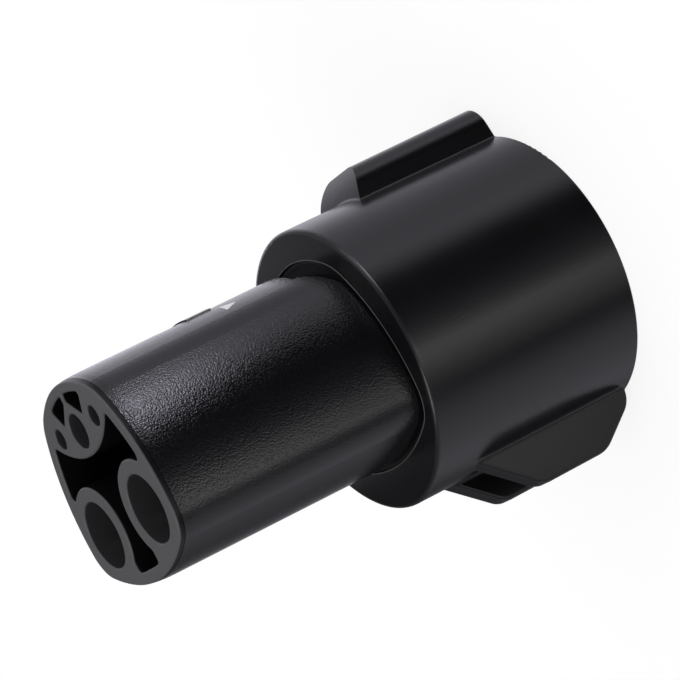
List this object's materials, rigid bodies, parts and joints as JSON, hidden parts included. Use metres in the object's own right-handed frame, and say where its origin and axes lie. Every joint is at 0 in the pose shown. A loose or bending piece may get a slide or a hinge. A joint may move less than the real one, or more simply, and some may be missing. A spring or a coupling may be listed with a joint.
{
  "type": "charging plug adapter",
  "caption": "Charging plug adapter: rounded nose with recessed contact sleeves in front, round latching socket with pins behind, keel and latch guard ribs.",
  "frame": {"origin": "centre of the open rim of the rear socket, on the axis of the round housing", "axes": "+Z along the housing axis from the open socket to the nose face, which points up; -Y towards the latch guard ribs, +Y towards the keel; +X completes the right-handed frame"},
  "size_m": [0.0572, 0.0703, 0.1006],
  "materials": {
    "housing_plastic": "satin",
    "nose_plastic": "fine pebble grain",
    "core_plastic": "matt",
    "insert_plastic": "satin",
    "plate_plastic": "matt",
    "soft_rubber": "matt",
    "plated_contact": "silver plated",
    "spring_bronze": "plain",
    "link_copper": "plain copper",
    "screw_steel": "zinc plated"
  },
  "bodies": {
    "root": {"rear_housing": "housing_plastic", "nose_shell": "nose_plastic", "contact_core": "core_plastic", "nose_collar": "soft_rubber", "flange_gasket": "soft_rubber", "socket_insert": "insert_plastic", "plug_seal": "soft_rubber", "sleeve_retainer": "plate_plastic", "pin_retainer": "plate_plastic", "line_pin": "plated_contact", "line_sleeve": "plated_contact", "line_link": "link_copper", "line_contact_band": "spring_bronze", "neutral_pin": "plated_contact", "neutral_sleeve": "plated_contact", "neutral_link": "link_copper", "neutral_contact_band": "spring_bronze", "ground_pin": "plated_contact", "ground_sleeve": "plated_contact", "ground_link": "link_copper", "pilot_pin": "plated_contact", "pilot_sleeve": "plated_contact", "pilot_link": "link_copper", "proximity_pin": "plated_contact", "proximity_sleeve": "plated_contact", "proximity_link": "link_copper", "sleeve_plate_screw_1": "screw_steel", "sleeve_plate_screw_2": "screw_steel", "pin_plate_screw_1": "screw_steel", "pin_plate_screw_2": "screw_steel"}
  },
  "joints": []
}
